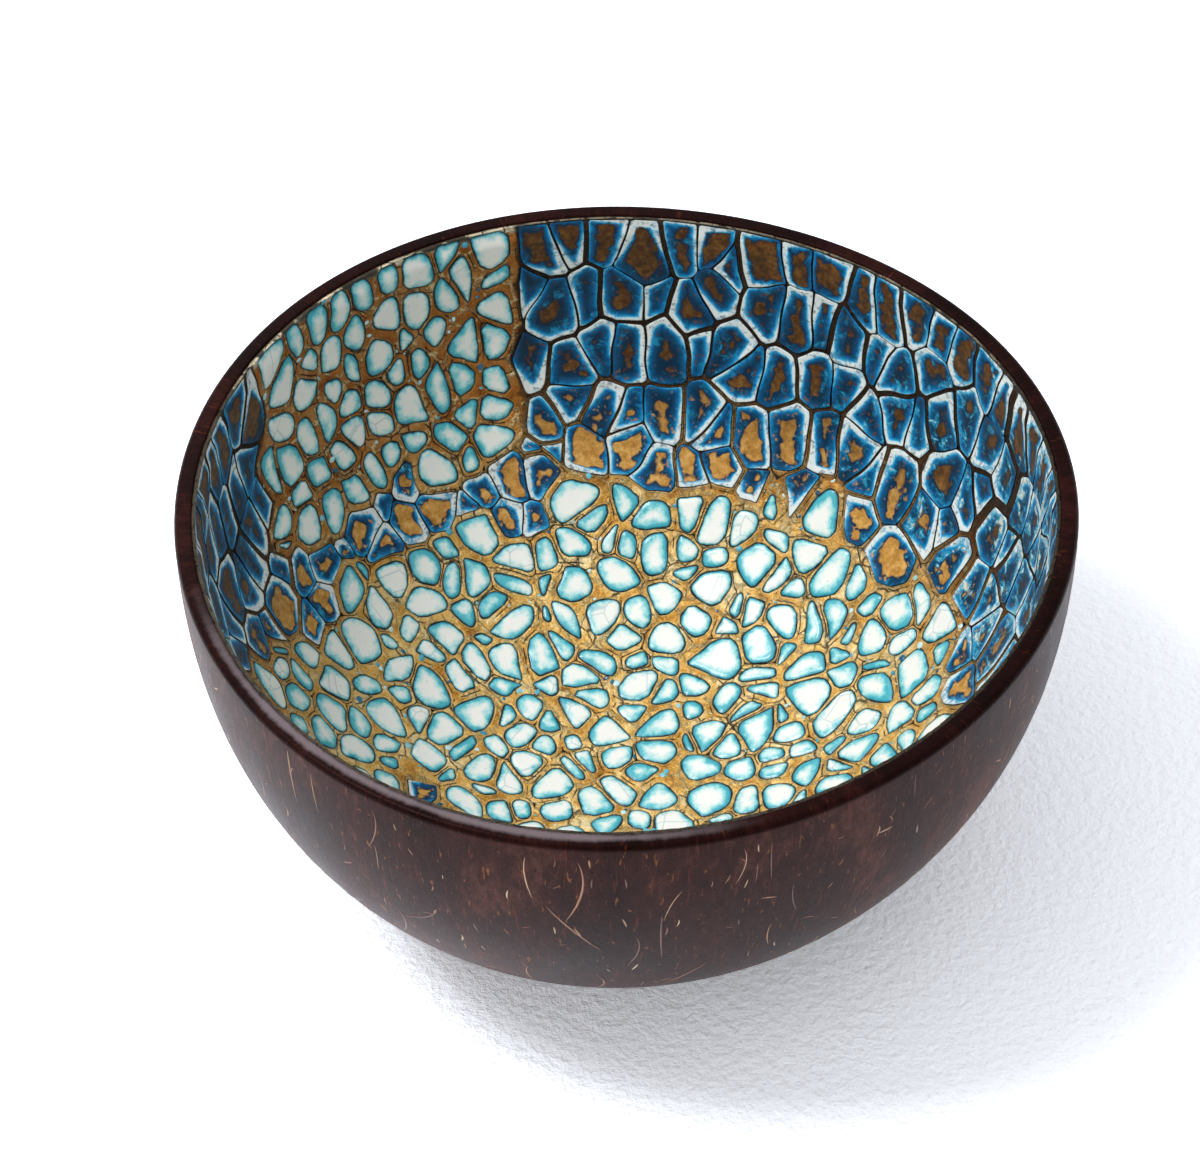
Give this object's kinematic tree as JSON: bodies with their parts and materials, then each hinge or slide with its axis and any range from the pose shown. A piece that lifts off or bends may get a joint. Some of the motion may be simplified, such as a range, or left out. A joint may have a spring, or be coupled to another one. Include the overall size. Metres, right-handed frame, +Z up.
{
  "type": "coconut shell bowl",
  "caption": "Round bowl made from half a coconut shell, lined with gold lacquer and an eggshell mosaic in pale and blue fields.",
  "frame": {"origin": "centre of the flat foot, on the surface that the bowl stands on", "axes": "+Z up through the mouth of the bowl; the picture looks along +Y and down, with +X to its right"},
  "size_m": [0.13, 0.13, 0.066],
  "materials": {
    "shell": "coconut shell, sanded, oiled and polished, satin",
    "gold_lacquer": "gold lacquer, hand laid, under a clear gloss coat",
    "pale_eggshell": "crushed eggshell, white with a turquoise edge, sanded flush under a clear gloss coat",
    "blue_eggshell": "crushed eggshell, stained blue with a white edge, sanded flush under a clear gloss coat"
  },
  "bodies": {
    "root": {"coconut_shell": "shell", "lacquer_ground": "gold_lacquer", "pale_floor_tesserae": "pale_eggshell", "pale_wall_tesserae": "pale_eggshell", "pale_front_tesserae": "pale_eggshell", "blue_back_tesserae": "blue_eggshell", "blue_right_tesserae": "blue_eggshell", "blue_left_tesserae": "blue_eggshell", "blue_band_tesserae": "blue_eggshell", "blue_front_tesserae": "blue_eggshell"}
  },
  "joints": []
}
